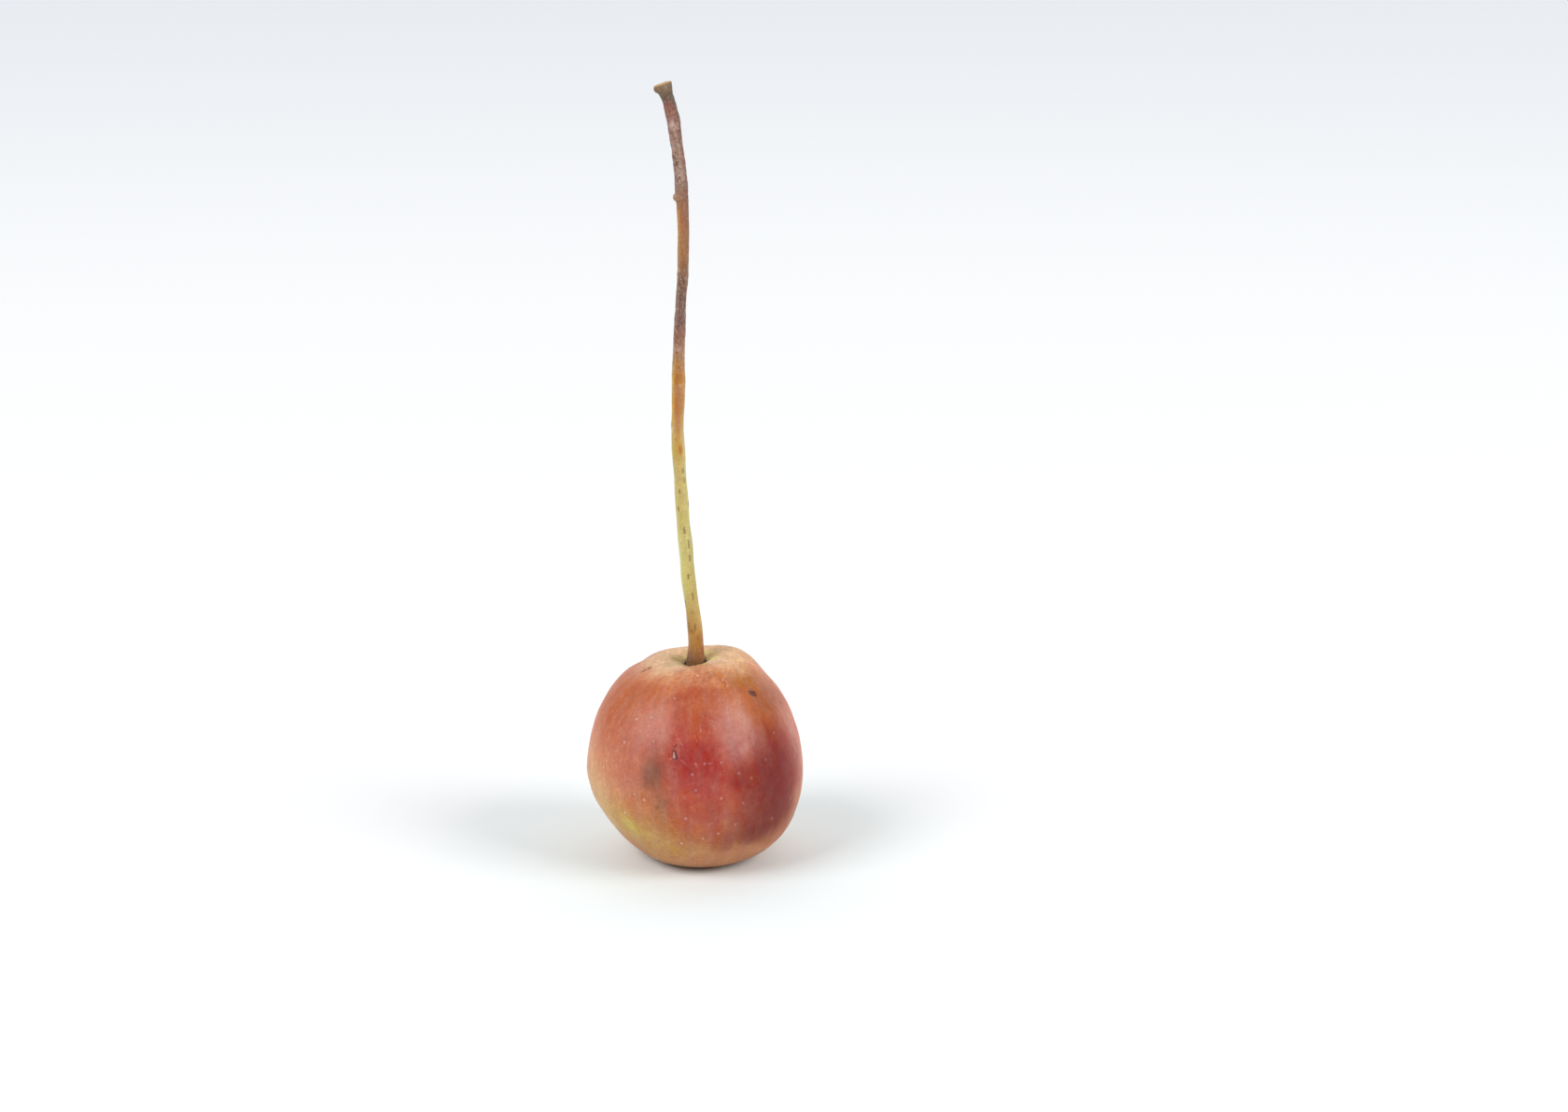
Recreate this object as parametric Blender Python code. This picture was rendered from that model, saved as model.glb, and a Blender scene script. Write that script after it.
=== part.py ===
"""Crab apple: one ripe fruit with its long stem, standing on its eye end.

Metres, +Z up. The origin is on the surface that the fruit stands on, under the middle of the fruit.
Run it with: blender --background --python part.py
"""
import math

import bmesh
import bpy
from mathutils import Vector

# ---- Driving dimensions ---------------------------------------------------------------------------

# The fruit's outside
FRUIT_WIDTH = 0.0182         # across its widest part
FRUIT_HEIGHT = 0.0172        # from its rest to the rounded rim round the stem
WIDEST_HEIGHT = 0.0078       # where it is widest
RIM_RADIUS = 0.0030          # crest of the rim round the stem
RIM_LEAN = 0.0004            # the rim is this much higher at +X, and lower at -X
UPPER_FULLNESS = 1.82        # 2 is an ellipse, less is flatter cheeks
LOWER_FULLNESS = 1.92
UPPER_SKEW = -0.10           # added to the fullness at +X, taken from it at -X
LOWER_SKEW = 0.32

# The hollow at the stem's foot, and the hole that the stem grows out of
CAVITY_DEPTH = 0.0006
SEAT_DEPTH = 0.0014

# The flat ring it stands on, and the basin inside the ring
REST_RING_WIDTH = 0.0006
BASIN_RADIUS = 0.0024
BASIN_DEPTH = 0.0022

# The stem
STEM_LENGTH = 0.0500
STEM_DIAMETER = 0.0010       # along most of its length
STEM_FOOT_DIAMETER = 0.0015
STEM_TIP_DIAMETER = 0.00145  # the flare where it let go of the spur

# The withered eye: five sepals and a tuft of dry stamens
SEPALS = 5
SEPAL_THICKNESS = 0.0003
SEPAL_REACH = math.radians(74)        # how far a tip comes down the basin's wall, from its top
SEPAL_NOTCH = math.radians(34)        # the same, between two sepals
TUFT_RADIUS = 0.0006
TUFT_LENGTH = 0.0008

# Clear space between pieces that touch
FIT_GAP = 0.0003

# ---- Fineness of the surfaces ---------------------------------------------------------------------

FRUIT_SIDES = 48
UPPER_ROWS = 13
LOWER_ROWS = 11
CAVITY_ROWS = 6
BASIN_ROWS = 5
STEM_ROWS = 60
STEM_BEVEL = 4
CALYX_SIDES = 60
CALYX_ROWS = 5
TUFT_SIDES = 16

# ---- Sizes that follow ----------------------------------------------------------------------------

FRUIT_RADIUS = FRUIT_WIDTH / 2
REST_RADIUS = BASIN_RADIUS + REST_RING_WIDTH
SEAT_RADIUS = STEM_FOOT_DIAMETER / 2 + FIT_GAP
SEAT_TOP = FRUIT_HEIGHT - CAVITY_DEPTH
SEAT_FLOOR = SEAT_TOP - SEAT_DEPTH
STEM_FOOT = SEAT_FLOOR + FIT_GAP
CALYX_TOP = BASIN_DEPTH - FIT_GAP
TUFT_TOP = CALYX_TOP - SEPAL_THICKNESS - FIT_GAP

# The stem's bends: share of its length, then how far it stands off the fruit's axis, along X and Y
STEM_BENDS = [
    (0.00, 0.00000, 0.00000),
    (0.06, 0.00004, 0.00000),
    (0.20, -0.00056, 0.00008),
    (0.34, -0.00105, 0.00024),
    (0.47, -0.00123, 0.00036),
    (0.58, -0.00104, 0.00040),
    (0.73, -0.00065, 0.00030),
    (0.86, -0.00090, 0.00008),
    (0.95, -0.00158, -0.00014),
    (1.00, -0.00220, -0.00026),
]

# The stem's thickness: share of its length, then its diameter
STEM_THICKNESS = [
    (0.00, STEM_FOOT_DIAMETER),
    (0.06, 0.90 * STEM_FOOT_DIAMETER),
    (0.20, 1.12 * STEM_DIAMETER),
    (0.38, 1.00 * STEM_DIAMETER),
    (0.58, 0.95 * STEM_DIAMETER),
    (0.66, 0.83 * STEM_DIAMETER),
    (0.75, 0.93 * STEM_DIAMETER),
    (0.90, 1.00 * STEM_DIAMETER),
    (0.955, 1.12 * STEM_DIAMETER),
    (1.00, STEM_TIP_DIAMETER),
]


def start_empty():
    """Remove whatever the opened file holds."""
    for thing in list(bpy.data.objects):
        bpy.data.objects.remove(thing, do_unlink=True)


def finish_of(name, colour, roughness):
    """A Principled material with one colour and one roughness."""
    material = bpy.data.materials.new(name)
    material.use_nodes = True
    shader = material.node_tree.nodes["Principled BSDF"]
    shader.inputs["Base Color"].default_value = (*colour, 1.0)
    shader.inputs["Roughness"].default_value = roughness
    shader.inputs["Metallic"].default_value = 0.0
    return material


def add_object(name, data, material):
    """Put a mesh or a curve into the scene as one named piece."""
    piece = bpy.data.objects.new(name, data)
    data.materials.append(material)
    bpy.context.scene.collection.objects.link(piece)
    return piece


def mesh_from(name, bm):
    """Turn a bmesh into a smooth-shaded mesh whose faces point out."""
    bmesh.ops.recalc_face_normals(bm, faces=bm.faces)
    mesh = bpy.data.meshes.new(name)
    bm.to_mesh(mesh)
    bm.free()
    mesh.shade_smooth()
    return mesh


def smooth_value(table, share, column):
    """Read a smooth curve through a table's points: a cubic between each two, level with its neighbours."""
    last = len(table) - 1
    left = max(i for i in range(last) if table[i][0] <= share)
    right = left + 1

    def slope(i):
        before, after = table[max(i - 1, 0)], table[min(i + 1, last)]
        return (after[column] - before[column]) / (after[0] - before[0])

    span = table[right][0] - table[left][0]
    u = (share - table[left][0]) / span
    return ((2 * u**3 - 3 * u**2 + 1) * table[left][column]
            + (u**3 - 2 * u**2 + u) * span * slope(left)
            + (3 * u**2 - 2 * u**3) * table[right][column]
            + (u**3 - u**2) * span * slope(right))


# ---- The fruit ------------------------------------------------------------------------------------

def cheek(fullness, inner_radius, rise, turn):
    """One point of a cheek: out from inner_radius and up by rise, on a rounded square corner.

    turn goes from 0, at the widest part, to a right angle, at the rim or the rest.
    """
    out = inner_radius + (FRUIT_RADIUS - inner_radius) * math.cos(turn) ** (2 / fullness)
    return out, rise * math.sin(turn) ** (2 / fullness)


def fruit_outline(angle):
    """Radius and height of the skin at one angle round the stem, from the stem's hole to the eye."""
    upper = UPPER_FULLNESS + UPPER_SKEW * math.cos(angle)
    lower = LOWER_FULLNESS + LOWER_SKEW * math.cos(angle)
    outline = [(SEAT_RADIUS, SEAT_FLOOR), (SEAT_RADIUS, SEAT_TOP)]
    for row in range(1, CAVITY_ROWS):
        turn = math.pi / 2 * row / CAVITY_ROWS
        radius = RIM_RADIUS - (RIM_RADIUS - SEAT_RADIUS) * math.cos(turn)
        outline.append((radius, SEAT_TOP + CAVITY_DEPTH * math.sin(turn)))
    for row in range(UPPER_ROWS):
        turn = math.pi / 2 * (1 - row / UPPER_ROWS)
        radius, rise = cheek(upper, RIM_RADIUS, FRUIT_HEIGHT - WIDEST_HEIGHT, turn)
        outline.append((radius, WIDEST_HEIGHT + rise))
    for row in range(LOWER_ROWS):
        turn = math.pi / 2 * row / LOWER_ROWS
        radius, drop = cheek(lower, REST_RADIUS, WIDEST_HEIGHT, turn)
        outline.append((radius, WIDEST_HEIGHT - drop))
    outline.append((REST_RADIUS, 0.0))
    for row in range(BASIN_ROWS):
        turn = math.pi / 2 * row / BASIN_ROWS
        outline.append((BASIN_RADIUS * math.cos(turn), BASIN_DEPTH * math.sin(turn)))
    return outline


def lean(radius, height, angle):
    """How much the shoulder is lifted towards +X: all at the rim, none below the widest part."""
    shoulder = max(0.0, (height - WIDEST_HEIGHT) / (FRUIT_HEIGHT - WIDEST_HEIGHT))
    return RIM_LEAN * shoulder**2 * min(1.0, radius / RIM_RADIUS) * math.cos(angle)


def build_fruit(material):
    """Rings of the skin, joined ring to ring, closed in the stem's hole and at the eye."""
    bm = bmesh.new()
    columns = []
    for side in range(FRUIT_SIDES):
        angle = 2 * math.pi * side / FRUIT_SIDES
        column = []
        for radius, height in fruit_outline(angle):
            place = Vector((radius * math.cos(angle), radius * math.sin(angle), height))
            place.z += lean(radius, height, angle)
            column.append(bm.verts.new(place))
        columns.append(column)
    eye = bm.verts.new((0.0, 0.0, BASIN_DEPTH))
    for side, column in enumerate(columns):
        following = columns[(side + 1) % FRUIT_SIDES]
        for row in range(len(column) - 1):
            bm.faces.new((column[row], column[row + 1], following[row + 1], following[row]))
        bm.faces.new((column[-1], eye, following[-1]))
    bm.faces.new([column[0] for column in columns])
    mesh = mesh_from("fruit", bm)
    mesh.set_sharp_from_angle(angle=math.radians(45))
    return add_object("fruit", mesh, material)


# ---- The stem -------------------------------------------------------------------------------------

def build_stem(material):
    """A round curve along the stem's bends, with its own thickness at each point and closed ends."""
    curve = bpy.data.curves.new("stem", "CURVE")
    curve.dimensions = "3D"
    curve.bevel_depth = STEM_DIAMETER / 2
    curve.bevel_resolution = STEM_BEVEL
    curve.use_fill_caps = True
    line = curve.splines.new("POLY")
    line.points.add(STEM_ROWS)
    for row, point in enumerate(line.points):
        share = row / STEM_ROWS
        x = smooth_value(STEM_BENDS, share, 1)
        y = smooth_value(STEM_BENDS, share, 2)
        point.co = (x, y, STEM_FOOT + share * STEM_LENGTH, 1.0)
        point.radius = smooth_value(STEM_THICKNESS, share, 1) / STEM_DIAMETER
    return add_object("stem", curve, material)


# ---- The withered eye -----------------------------------------------------------------------------

def sepal_reach(angle):
    """How far the calyx comes down the basin's wall at an angle: far at each sepal's middle."""
    place = (angle * SEPALS / (2 * math.pi)) % 1.0
    middle = 1.0 - abs(2.0 * place - 1.0)
    return SEPAL_NOTCH + (SEPAL_REACH - SEPAL_NOTCH) * middle


def build_calyx(material):
    """A five-pointed sheet that lines the basin, given its thickness inwards."""
    bm = bmesh.new()
    across = BASIN_RADIUS - FIT_GAP
    middle = bm.verts.new((0.0, 0.0, CALYX_TOP))
    columns = []
    for side in range(CALYX_SIDES):
        angle = 2 * math.pi * side / CALYX_SIDES
        column = [middle]
        for row in range(1, CALYX_ROWS + 1):
            turn = sepal_reach(angle) * row / CALYX_ROWS
            radius = across * math.sin(turn)
            place = (radius * math.cos(angle), radius * math.sin(angle), CALYX_TOP * math.cos(turn))
            column.append(bm.verts.new(place))
        columns.append(column)
    for side, column in enumerate(columns):
        following = columns[(side + 1) % CALYX_SIDES]
        bm.faces.new((middle, column[1], following[1]))
        for row in range(1, CALYX_ROWS):
            bm.faces.new((column[row], column[row + 1], following[row + 1], following[row]))
    piece = add_object("calyx", mesh_from("calyx", bm), material)
    wall = piece.modifiers.new("thickness", "SOLIDIFY")
    wall.thickness = SEPAL_THICKNESS
    wall.offset = -1.0
    return piece


def build_stamen_tuft(material):
    """A small blunt cone, point down, turned round the eye's axis."""
    outline = [
        (0.0, TUFT_TOP),
        (TUFT_RADIUS / 2, TUFT_TOP),
        (TUFT_RADIUS, TUFT_TOP - TUFT_LENGTH),
        (0.0, TUFT_TOP - TUFT_LENGTH),
    ]
    bm = bmesh.new()
    points = [bm.verts.new((radius, 0.0, height)) for radius, height in outline]
    edges = [bm.edges.new(pair) for pair in zip(points, points[1:])]
    bmesh.ops.spin(bm, geom=points + edges, cent=(0, 0, 0), axis=(0, 0, 1),
                   angle=2 * math.pi, steps=TUFT_SIDES)
    bmesh.ops.remove_doubles(bm, verts=bm.verts, dist=1e-6)
    mesh = mesh_from("stamen_tuft", bm)
    mesh.set_sharp_from_angle(angle=math.radians(45))
    return add_object("stamen_tuft", mesh, material)


def build_crab_apple():
    """All the pieces, each with its own colour."""
    start_empty()
    build_fruit(finish_of("ripe_skin", (0.43, 0.10, 0.05), 0.38))
    build_stem(finish_of("stem_bark", (0.30, 0.13, 0.05), 0.55))
    build_calyx(finish_of("dry_sepal", (0.10, 0.05, 0.025), 0.85))
    build_stamen_tuft(finish_of("dry_stamen", (0.06, 0.032, 0.018), 0.9))


build_crab_apple()
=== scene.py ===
# %% [markdown]
# # A ripe crab apple, worked out from a few curves
#
# This lesson builds one small fruit: a crab apple 18 mm wide that stands on its eye end, with 50 mm of thin
# stem still in it. The plain solids of the fruit are loaded first, as a fixed frame. Everything that shows is
# then worked out with numpy as surfaces of two parameters, and put where the frame says.
#
# All shapes are worked out in millimetres, and become metres at the moment they turn into a mesh.

# %% Load the frame
import math

import bpy
import numpy as np
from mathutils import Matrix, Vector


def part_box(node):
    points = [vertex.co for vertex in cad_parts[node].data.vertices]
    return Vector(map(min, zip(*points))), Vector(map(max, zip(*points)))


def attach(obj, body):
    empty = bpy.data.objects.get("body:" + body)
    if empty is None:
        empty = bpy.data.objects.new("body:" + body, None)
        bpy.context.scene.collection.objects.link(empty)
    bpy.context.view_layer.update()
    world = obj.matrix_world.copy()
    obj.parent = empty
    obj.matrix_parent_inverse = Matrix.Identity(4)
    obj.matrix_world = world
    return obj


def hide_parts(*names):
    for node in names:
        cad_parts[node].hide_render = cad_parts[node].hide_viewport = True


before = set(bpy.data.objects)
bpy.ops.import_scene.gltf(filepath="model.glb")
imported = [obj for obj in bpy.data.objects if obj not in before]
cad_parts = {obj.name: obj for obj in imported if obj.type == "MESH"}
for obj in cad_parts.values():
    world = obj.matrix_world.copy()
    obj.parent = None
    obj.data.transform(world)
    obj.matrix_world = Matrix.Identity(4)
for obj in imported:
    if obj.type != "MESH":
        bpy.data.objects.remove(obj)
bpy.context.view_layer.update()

MM = 0.001
fruit_low, fruit_high = (np.array(corner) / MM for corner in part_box("fruit"))
stem_low, stem_high = (np.array(corner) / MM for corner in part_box("stem"))
print(f"the fruit is {fruit_high[0] - fruit_low[0]:.1f} mm wide, and all of it is {stem_high[2]:.1f} mm tall")

# %% [markdown]
# ## Tools for shapes
#
# A fruit, a stem, a sepal and a stamen are all the same kind of surface: rings of points, one ring after
# another. Such a grid has rows, one for each ring, and columns round the ring. Blender could make each from a
# primitive and then sculpt it, but a grid that is computed keeps its rule readable, and every place on it can
# be named later. The ends are closed with a fan of triangles, so each piece is one watertight skin.

# %% From grids of points to closed meshes
def placed(name, data):
    """A new object in the scene, from a mesh, a lamp or a camera."""
    made = bpy.data.objects.new(name, data)
    bpy.context.scene.collection.objects.link(made)
    return made


def ring_faces(rows, columns):
    """Corners of the faces of one grid: quads between rings, then a fan at each end.

    Point (r, c) has the number r * columns + c. The two fan points come after the grid's last point.
    """
    r, c = np.meshgrid(np.arange(rows - 1), np.arange(columns), indexing="ij")
    here, after = r * columns + c, r * columns + (c + 1) % columns
    quads = np.stack([here, after, after + columns, here + columns], -1).reshape(-1, 4)
    first, last = np.full(columns, rows * columns), np.full(columns, rows * columns + 1)
    start = np.stack([first, after[0], here[0]], -1)
    end = np.stack([last, here[-1] + columns, after[-1] + columns], -1)
    return quads, np.concatenate([start, end])


def with_ends(grid):
    """A grid's values as a flat list, with the mean of the first row and of the last row put after them."""
    values = np.asarray(grid, float).reshape(*grid.shape[:2], -1)
    ends = values[:1].mean(axis=1), values[-1:].mean(axis=1)
    return np.concatenate([values.reshape(-1, values.shape[2]), *ends])


def turned_out(points, quads, triangles):
    """The faces, turned over if they would point inwards, so that they enclose a positive volume."""
    fans = np.concatenate([quads[:, [0, 1, 2]], quads[:, [0, 2, 3]], triangles])
    a, b, c = points[fans[:, 0]], points[fans[:, 1]], points[fans[:, 2]]
    way = -1 if (np.cross(a, b) * c).sum() < 0 else 1
    return quads[:, ::way], triangles[:, ::way]


def closed_piece(name, grids):
    """One object from one or more grids in millimetres, each closed at both ends, with smooth faces."""
    points, faces, count = [], [], 0
    for grid in grids:
        corners = with_ends(grid)
        quads, triangles = turned_out(corners, *ring_faces(*grid.shape[:2]))
        points.append(corners)
        faces += (quads + count).tolist() + (triangles + count).tolist()
        count += len(corners)
    mesh = bpy.data.meshes.new(name)
    mesh.from_pydata((np.concatenate(points) * MM).tolist(), [], faces)
    mesh.shade_smooth()
    print(f"{name}: {count} points, {len(faces)} faces, {len(grids)} closed skins")
    return placed(name, mesh)


def paint(piece, name, grid):
    """Store a grid's numbers or colours at the piece's points, for the material to read as an attribute."""
    values = with_ends(grid)
    kind, field = "FLOAT", "value"
    if values.shape[1] == 3:
        kind, field = "FLOAT_COLOR", "color"
        values = np.column_stack([values, np.ones(len(values))])
    layer = piece.data.attributes.new(name, kind, "POINT")
    layer.data.foreach_set(field, values.ravel().astype(np.float32))


# %% Rings, curves, steps and gentle waves
def round_turn(count, start=-math.pi):
    """Evenly spaced angles for one whole turn."""
    return np.linspace(start, start + 2 * math.pi, count, endpoint=False)


def on_rings(out, turn, up, forward=-1):
    """Points at a distance from the axis, an angle and a height: (out * sin, forward * out * cos, up).

    Angle 0 faces the front, towards -y, and positive angles are to the right. With forward = 1 the points are
    mirrored front to back, for places to read waves at.
    """
    out, turn, up = np.broadcast_arrays(out, turn, up)
    return np.stack([out * np.sin(turn), forward * out * np.cos(turn), up], -1)


def way_round(turn, degrees):
    """How far round each angle is from one in degrees, the short way, as an angle from -pi to pi."""
    return np.angle(np.exp(1j * (turn - math.radians(degrees))))


def unit(vectors):
    """Each vector, divided by its length."""
    return vectors / np.maximum(np.linalg.norm(vectors, axis=-1, keepdims=True), 1e-12)


def smooth_through(stops, at):
    """A smooth curve through stops, each (place, value, ...), read at every place in the array `at`.

    Between two stops it is a cubic. Its slope at a stop is that of the line between the stop's neighbours.
    """
    stops = np.array(stops, float)
    place, values = stops[:, 0], stops[:, 1:]
    slopes = np.gradient(values, place, axis=0)
    i = np.clip(np.searchsorted(place, at, side="right") - 1, 0, len(place) - 2)
    span = (place[i + 1] - place[i])[..., None]
    u = ((at - place[i])[..., None]) / span
    return ((2 * u**3 - 3 * u**2 + 1) * values[i] + (u**3 - 2 * u**2 + u) * span * slopes[i]
            + (3 * u**2 - 2 * u**3) * values[i + 1] + (u**3 - u**2) * span * slopes[i + 1])


def step(low, high, x):
    """0 below low, 1 above high, and 3t^2 - 2t^3 between them."""
    t = np.clip((x - low) / (high - low), 0, 1)
    return t * t * (3 - 2 * t)


def waves(points, size, seed, count=28):
    """Unevenness from about -1 to 1: sine waves of about one size that cross the points in random directions.

    Each wave is sin(2 pi * along / length + start), where along is the way in its direction. Their sum is
    divided by the root of their number.
    """
    random = np.random.default_rng(seed)
    directions = unit(random.normal(size=(count, 3)))
    lengths = size * random.uniform(0.7, 1.5, count)
    starts = random.uniform(0, 2 * np.pi, count)
    total = np.zeros(points.shape[:-1])
    for direction, length, start in zip(directions, lengths, starts):
        total += np.sin(2 * np.pi * (points @ direction) / length + start)
    return total / math.sqrt(count)


def linear(red, green, blue):
    """A colour picked on a 0 to 255 scale, as the linear values that the shader works in."""
    c = np.array([red, green, blue]) / 255
    return np.where(c <= 0.04045, c / 12.92, ((c + 0.055) / 1.055) ** 2.4)


def laid_over(base, share, over):
    """One colour over another: base * (1 - share) + over * share, with one share for each point."""
    share = share[..., None]
    return base * (1 - share) + over * share


# %% [markdown]
# ## The room
#
# Waxy skin shows nothing by itself: it shows the lamps. Two large soft boxes stand to the left and to the
# right of the fruit, a little above it, and give it two broad dull gleams with a darker band between them.
# The floor is a plain pale sheet. Behind the fruit the room is as pale as the floor, and lights the edges of
# the skin. In front, where the camera stands, the room is dark, so nothing veils the deep red between the two
# gleams.

# %% Camera
LENS = 0.100
SENSOR = 0.036
CAMERA_RISE = 17.4                    # degrees above the horizon
CAMERA_AWAY = 0.3652                  # from the point that it looks at
LOOK_AT = (0.0075, 0.0050, 0.0245)    # right of the fruit's axis, and a third of the way up the whole piece

camera_data = bpy.data.cameras.new("camera")
camera_data.lens = LENS / MM
camera_data.sensor_width = SENSOR / MM
camera_data.clip_start = 0.01
camera = placed("camera", camera_data)
rise = math.radians(CAMERA_RISE)
x, y, z = LOOK_AT
camera.location = (x, y - CAMERA_AWAY * math.cos(rise), z + CAMERA_AWAY * math.sin(rise))
camera.rotation_euler = (math.pi / 2 - rise, 0, 0)
bpy.context.scene.camera = camera
bpy.context.scene.view_settings.view_transform = "Standard"
print(f"the camera stands {camera.location.z / MM:.0f} mm above the floor")


# %% Nodes made in one line
def fill(node, inputs):
    """Give a node its inputs. A plain value is set, and the output of another node is wired."""
    for name, value in inputs.items():
        if isinstance(value, bpy.types.NodeSocket):
            node.id_data.links.new(value, node.inputs[name])
        else:
            node.inputs[name].default_value = value
    return node


def add(tree, kind, inputs=None, **settings):
    """Add a shader node with its settings and inputs."""
    made = tree.nodes.new("ShaderNode" + kind)
    for name, value in settings.items():
        setattr(made, name, value)
    return fill(made, inputs or {})


def tree_of(*values):
    """The node tree that the wired ones among some values belong to."""
    return next(value.id_data for value in values if isinstance(value, bpy.types.NodeSocket))


def maths(operation, *values, clamp=False):
    """One Math node, and its output."""
    inputs = dict(enumerate(values))
    return add(tree_of(*values), "Math", inputs, operation=operation, use_clamp=clamp).outputs[0]


def plus(first, second):
    """A sum."""
    return maths("ADD", first, second)


def minus(first, second):
    """A difference."""
    return maths("SUBTRACT", first, second)


def times(first, second):
    """A product."""
    return maths("MULTIPLY", first, second)


def vectors(operation, *values):
    """One Vector Math node, and the output that holds its result."""
    made = add(tree_of(*values), "VectorMath", dict(enumerate(values)), operation=operation)
    return made.outputs["Value" if operation in ("DISTANCE", "DOT_PRODUCT", "LENGTH") else "Vector"]


def scaled(vector, factor):
    """A vector times a number."""
    made = add(vector.id_data, "VectorMath", {0: vector, "Scale": factor}, operation="SCALE")
    return made.outputs["Vector"]


# %% Colours, ranges and bumps in one line
def mixed(share, first, second):
    """Two colours mixed, with the share of the second."""
    inputs = {0: share, 6: first, 7: second}
    return add(tree_of(share, first, second), "Mix", inputs, data_type="RGBA").outputs[2]


def ranged(value, low, high, to_low=0.0, to_high=1.0, curve="SMOOTHSTEP"):
    """One Map Range node: low to high become to_low to to_high."""
    inputs = {0: value, 1: low, 2: high, 3: to_low, 4: to_high}
    return add(value.id_data, "MapRange", inputs, interpolation_type=curve).outputs[0]


def evenly(value, low, high, to_low, to_high):
    """The same, in a straight line."""
    return ranged(value, low, high, to_low, to_high, "LINEAR")


def toned(base, hue, saturation, value):
    """A colour with its hue turned and its saturation and value multiplied."""
    inputs = {"Hue": hue, "Saturation": saturation, "Value": value, "Color": base}
    return add(base.id_data, "HueSaturation", inputs).outputs["Color"]


def bumped(height):
    """The shading normal of a height in millimetres."""
    inputs = {"Height": height, "Distance": MM, "Strength": 1.0}
    return add(height.id_data, "Bump", inputs).outputs["Normal"]


def colour(red, green, blue):
    """A colour, given on a 0 to 255 scale, as the four numbers of a colour socket."""
    return (*linear(red, green, blue).tolist(), 1.0)


# %% Soft boxes, sky and floor
def soft_box(name, turn, rise, away, size, brightness):
    """A square lamp that faces the fruit, turned so many degrees from the front and raised above the floor.

    A lamp's power is brightness * pi * its area, so that brightness is how bright its face looks.
    """
    lamp = bpy.data.lights.new(name, "AREA")
    lamp.shape = "RECTANGLE"
    lamp.size, lamp.size_y = size
    lamp.energy = brightness * math.pi * size[0] * size[1]
    holder = placed(name, lamp)
    turn, rise = math.radians(turn), math.radians(rise)
    middle = fruit_high[2] / 2 * MM
    holder.location = on_rings(away * math.cos(rise), turn, away * math.sin(rise) + middle)
    holder.rotation_euler = (math.pi / 2 - rise, 0, turn)


soft_box("left_soft_box", -55, 40, 1.4, (0.80, 0.78), 5.8)
soft_box("right_soft_box", 66, 31, 1.4, (0.80, 0.80), 5.8)

PALE_WALL = colour(243, 245, 248)
BLACK = colour(0, 0, 0)
world = bpy.data.worlds.new("sky")
world.use_nodes = True
bpy.context.scene.world = world
sky = world.node_tree
sky.nodes.clear()
to_camera = add(sky, "LightPath").outputs["Is Camera Ray"]
direction = add(sky, "SeparateXYZ", {0: add(sky, "TexCoord").outputs["Generated"]})
backward = ranged(direction.outputs["Y"], -0.3, 0.6, 0.20, 0.95)
shone = add(sky, "Background", {"Color": (0.93, 0.965, 1.0, 1.0), "Strength": backward})
seen = add(sky, "Background", {"Color": PALE_WALL, "Strength": 1.0})
either = add(sky, "MixShader", {0: to_camera, 1: shone.outputs[0], 2: seen.outputs[0]})
add(sky, "OutputWorld", {"Surface": either.outputs[0]})


def plain_material(name):
    """A material with nothing but a Principled shader, its tree and the shader."""
    material = bpy.data.materials.new(name)
    material.use_nodes = True
    return material, material.node_tree, material.node_tree.nodes["Principled BSDF"]


HALF_FLOOR = 3.0
corners = [(x * HALF_FLOOR, y * HALF_FLOOR, 0) for x, y in ((-1, -1), (1, -1), (1, 1), (-1, 1))]
floor_mesh = bpy.data.meshes.new("floor")
floor_mesh.from_pydata(corners, [], [(0, 1, 2, 3)])
floor = placed("floor", floor_mesh)
floor_material, tree, shader = plain_material("pale_sheet")
away = vectors("LENGTH", add(tree, "TexCoord").outputs["Object"])
far = ranged(away, 0.18, 0.42)
near = ranged(away, 0.006, 0.030)
near_colour = mixed(near, colour(244, 252, 252), colour(251, 251, 251))   # cooler, against the red bounce
sheet_colour = mixed(far, near_colour, colour(244, 245, 248))
horizon = ranged(away, 0.32, 0.95)    # past the lamps' reach, the sheet glows like the wall behind it
fill(shader, {"Base Color": mixed(horizon, sheet_colour, BLACK),
              "Emission Color": mixed(horizon, BLACK, PALE_WALL), "Emission Strength": 1.0,
              "Roughness": 0.9, "Specular IOR Level": 0.1})
floor_mesh.materials.append(floor_material)
print("two soft boxes, a pale wall behind, a dark room in front and a pale floor")

# %% [markdown]
# ## The fruit's outline
#
# Seen from the side, a crab apple is nearly an ellipse, but not quite: it is a little flat-cheeked, its rim
# round the stem is a small dish, and it stands on a flat ring round the eye. So the outline is drawn in
# stretches: the hole the stem grows from, the dish, the upper cheek, the lower cheek, the ring and the basin
# of the eye. Each is a quarter of a rounded square, whose fullness changes from one side to the other, so the
# fruit is slightly lopsided. The sizes are the plain solid's, and what the frame can tell is read from it.

# %% Sizes of the fruit
FRUIT_RADIUS = fruit_high[0]
FRUIT_HEIGHT = 17.2                   # to the crest of the rim, on average
WIDEST_HEIGHT = 7.8
RIM_RADIUS = 3.0
RIM_LEAN = fruit_high[2] - FRUIT_HEIGHT
UPPER_FULLNESS, UPPER_SKEW = 1.82, -0.10
LOWER_FULLNESS, LOWER_SKEW = 1.92, 0.32
DISH_DEPTH = 0.6
SEAT_RADIUS = 0.68                    # narrower than the solid's: on a real fruit the skin hugs the stem
SEAT_DEPTH = 1.3
REST_RADIUS = 3.0
BASIN_RADIUS = 2.4
BASIN_DEPTH = 2.2

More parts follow.
